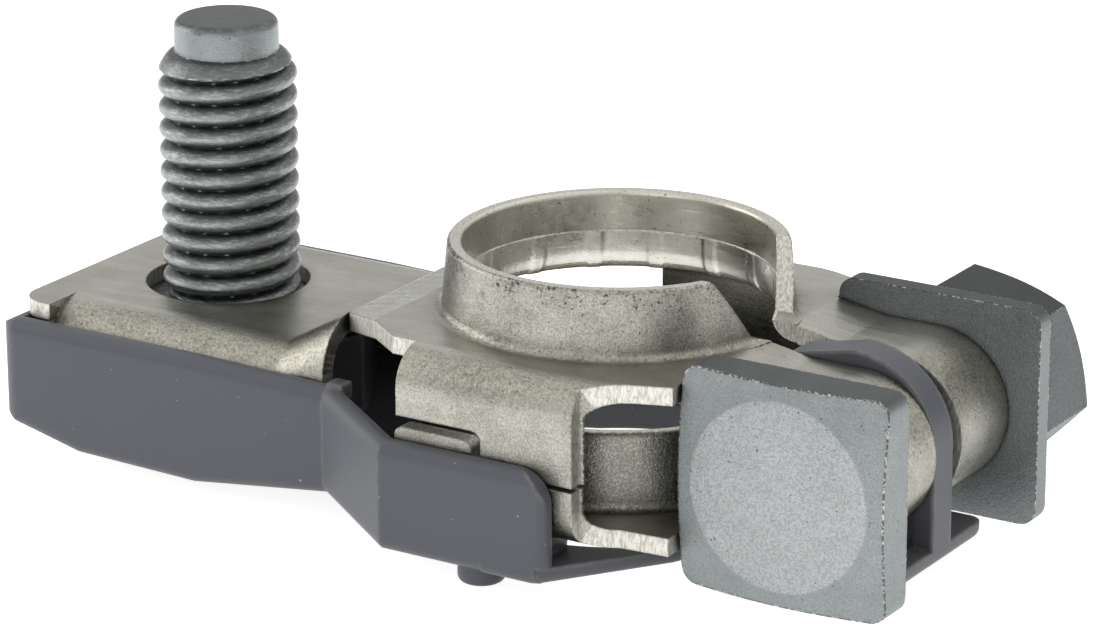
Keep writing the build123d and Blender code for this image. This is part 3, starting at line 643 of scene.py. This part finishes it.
class CLAMP_OT_bolt(bpy.types.Operator):
    """Makes the clamp bolt with its thin square head and rolled thread."""

    bl_idname = "clamp.bolt"
    bl_label = "Clamp bolt"

    def execute(self, context):
        sizes = context.scene.clamp_sizes
        low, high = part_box("clamp_bolt")
        head_k, head_corner = 3.0 * MM, 0.9 * MM
        half = (high.x - low.x) / 2
        length = high.y - low.y - head_k
        centre_r, tip_r = 1.0 * MM, 0.5 * MM        # small rings that the end faces close in
        pad_r = PAD_R * MM
        pad_inner_r = pad_r - 0.02 * MM
        step_r, step_k = pad_r + 0.04 * MM, head_k - 0.02 * MM  # the coined step round the pad
        fall = 0.25                                 # how steeply the face falls away outside the pad
        back_chamfer, back_share = 0.18 * MM, 0.975
        shank_r = 2.98 * MM
        point = 0.8 * MM
        thread_start = 11 * MM
        run_out = 0.05 * MM
        plan = rounded_polygon(4, half, head_corner, math.pi / 4)
        angles = [math.atan2(y, x) for x, y in plan]

        def on_face(x, y):
            """A point of the head's face: level on the pad, then falling away as a cone."""
            return x, y, -head_k + fall * max(0, math.hypot(x, y) - pad_r)

        rings = [circle(centre_r, -head_k, angles), circle(pad_inner_r, -head_k, angles)]
        rings.append(circle(step_r, -step_k, angles))
        for share in (0.35, 0.7, 1.0):
            rings.append([
                on_face(p[0] + (x - p[0]) * share, p[1] + (y - p[1]) * share)
                for p, (x, y) in zip(circle(step_r, 0, angles), plan)
            ])
        rings.append([(x, y, -back_chamfer) for x, y in plan])
        rings.append([(x * back_share, y * back_share, 0) for x, y in plan])
        rings.append(circle(shank_r, 0, angles))
        rings.append(circle(shank_r, thread_start, angles))

        def envelope(u):
            """Trims the thread at its run-out and at the chamfered point."""
            return min(shank_r, shank_r - point + (length - u))

        rings += threaded(
            shank_r, sizes.bolt_pitch, sizes.bolt_depth, thread_start + run_out, length, thread_start, 0.0,
            envelope, angles,
        )
        rings.append(circle(tip_r, length, angles))

        mesh = mesh_from("square_head_bolt", rings)
        under_head = Matrix.Translation(((low.x + high.x) / 2, low.y + head_k, (low.z + high.z) / 2))
        mesh.transform(under_head @ Matrix.Rotation(-math.pi / 2, 4, "X"))
        # the head's pad is lighter, partly as a painted highlight
        mesh.materials.append(zinc_flake_steel(
            "zinc_flake_headed", shade(context.scene.clamp_colours.zinc, 0.72), 0.5,
            pad_share=0.18, edge_radius=0.25,
        ))
        smooth(mesh)
        put_on_clamp(mesh, "clamp_bolt")
        return {"FINISHED"}


class CLAMP_OT_nut_and_washer(bpy.types.Operator):
    """Gives the nut and the square washer their coating, in darker shares of the zinc that are partly painted
    shade.
    """

    bl_idname = "clamp.nut_and_washer"
    bl_label = "Nut and washer"

    def execute(self, context):
        zinc = context.scene.clamp_colours.zinc
        # darker shares of the zinc, partly painted shade: the washer under the head and barrel, the nut's
        # dark faces
        for name, finish, share in (
            ("clamp_nut", "zinc_flake_forged", 0.4), ("square_washer", "zinc_flake_stamped", 0.6),
        ):
            coating = zinc_flake_steel(finish, shade(zinc, share), 0.48)
            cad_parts[name].material_slots[0].material = coating
        return {"FINISHED"}


class CLAMP_OT_tray(bpy.types.Operator):
    """Gives the moulded tray its nylon."""

    bl_idname = "clamp.tray"
    bl_label = "Tray"

    def execute(self, context):
        nylon = moulded_nylon(context.scene.clamp_colours.nylon)
        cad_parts["retainer_tray"].material_slots[0].material = nylon
        return {"FINISHED"}


# ---------------------------------------------------------------- stage
def studio_floor():
    """White table: diffuse for light and shadow, lifted to white for what sees it directly or in metal."""
    material = bpy.data.materials.new("white_table")
    material.use_nodes = True
    tree = material.node_tree
    tree.nodes.clear()
    rays = add(tree, "LightPath").node.outputs
    seen = add(tree, "Math", [rays["Is Camera Ray"], rays["Is Glossy Ray"]], operation="MAXIMUM")
    seen = add(tree, "Math", [seen, rays["Is Transmission Ray"]], operation="MAXIMUM")
    matt = add(tree, "BsdfDiffuse", {"Color": (0.8, 0.8, 0.8)})
    glow = add(tree, "Emission", {"Color": (1, 1, 1), "Strength": product(tree, seen, FLOOR_GLOW)})
    add(tree, "OutputMaterial", [add(tree, "AddShader", [matt, glow])])
    return material


def studio_world():
    """Room for light: dim in front, a little brighter behind, brightest overhead, and white to the camera."""
    world = bpy.data.worlds.new("studio")
    world.use_nodes = True
    tree = world.node_tree
    tree.nodes.clear()
    seen = add(tree, "LightPath", output="Is Camera Ray")
    direction = add(tree, "SeparateXYZ", [add(tree, "TexCoord", output="Generated")]).node.outputs
    backward = add(tree, "Math", [direction["X"], 0.35, direction["Y"]], operation="MULTIPLY_ADD")
    level = add(tree, "MapRange", [backward, -0.5, 0.7, FRONT_LEVEL, BACK_LEVEL])
    overhead = add(tree, "MapRange", [direction["Z"], 0.2, 0.6, 1.0, OVERHEAD_SHARE])
    strength = add(tree, "Mix", {"Factor": seen, "A": product(tree, level, overhead), "B": 1.0})
    light = add(tree, "Background", {"Color": (1, 1, 1), "Strength": strength})
    add(tree, "OutputWorld", [light])
    bpy.context.scene.world = world


def softbox(name, place_at, size, watts):
    """A square area light at a place, turned to the clamp."""
    data = bpy.data.lights.new(name, "AREA")
    data.size = size
    data.energy = watts
    light = bpy.data.objects.new(name, data)
    light.location = place_at
    light.rotation_mode = "QUATERNION"
    light.rotation_quaternion = (-Vector(place_at)).to_track_quat("-Z", "Y")
    bpy.context.scene.collection.objects.link(light)


class CLAMP_OT_stage(bpy.types.Operator):
    """Sets the part on a white table under soft studio light, with the camera above its front right."""

    bl_idname = "clamp.stage"
    bl_label = "Stage"

    def execute(self, context):
        scene = context.scene
        floor_z = CAD_BOX[0].z
        reach = 1.5         # half the table's side
        corners = [(-reach, -reach), (reach, -reach), (reach, reach), (-reach, reach)]
        mesh = bpy.data.meshes.new("table")
        mesh.from_pydata([(x, y, floor_z) for x, y in corners], [], [(0, 1, 2, 3)])
        mesh.materials.append(studio_floor())
        table = bpy.data.objects.new("table", mesh)
        scene.collection.objects.link(table)

        studio_world()
        softbox("key", (0.00, -0.50, 0.14), 0.40, 0.38)
        softbox("fill", (-0.46, -0.12, 0.14), 0.30, 0.60)

        camera = bpy.data.cameras.new("camera")
        camera.sensor_fit = "HORIZONTAL"
        camera.sensor_width = 36
        camera.lens = 154.5
        camera.clip_start = 0.01
        camera.clip_end = 10
        holder = bpy.data.objects.new("camera", camera)
        eye = (0.12600, -0.20752, 0.07702)
        azimuth, elevation, roll = 0.56109, 0.32385, -0.00276
        holder.matrix_world = (
            Matrix.Translation(eye)
            @ Matrix.Rotation(azimuth, 4, "Z")
            @ Matrix.Rotation(math.pi / 2 - elevation, 4, "X")
            @ Matrix.Rotation(roll, 4, "Z")
        )
        scene.collection.objects.link(holder)
        scene.camera = holder
        scene.view_settings.view_transform = "Standard"
        return {"FINISHED"}


class CLAMP_PT_panel(bpy.types.Panel):
    """Lists the pieces of the clamp and their settings."""

    bl_idname = "CLAMP_PT_panel"
    bl_label = "Battery clamp"
    bl_space_type = "VIEW_3D"
    bl_region_type = "UI"
    bl_category = "Clamp"

    def draw(self, context):
        for operator in OPERATORS:
            self.layout.operator(operator.bl_idname)
        for group in (context.scene.clamp_colours, context.scene.clamp_sizes):
            for name in group.__annotations__:
                self.layout.prop(group, name)


OPERATORS = (
    CLAMP_OT_sheet,
    CLAMP_OT_grip,
    CLAMP_OT_stud,
    CLAMP_OT_bolt,
    CLAMP_OT_nut_and_washer,
    CLAMP_OT_tray,
    CLAMP_OT_stage,
)
CLASSES = (ClampColours, ClampSizes, *OPERATORS, CLAMP_PT_panel)


def register():
    for cls in CLASSES:
        bpy.utils.register_class(cls)
    bpy.types.Scene.clamp_colours = bpy.props.PointerProperty(type=ClampColours)
    bpy.types.Scene.clamp_sizes = bpy.props.PointerProperty(type=ClampSizes)


def unregister():
    del bpy.types.Scene.clamp_sizes
    del bpy.types.Scene.clamp_colours
    for cls in reversed(CLASSES):
        bpy.utils.unregister_class(cls)


def main():
    register()
    bpy.ops.clamp.sheet()
    bpy.ops.clamp.grip()
    bpy.ops.clamp.stud()
    bpy.ops.clamp.bolt()
    bpy.ops.clamp.nut_and_washer()
    bpy.ops.clamp.tray()
    bpy.ops.clamp.stage()


if __name__ == "__main__":
    main()
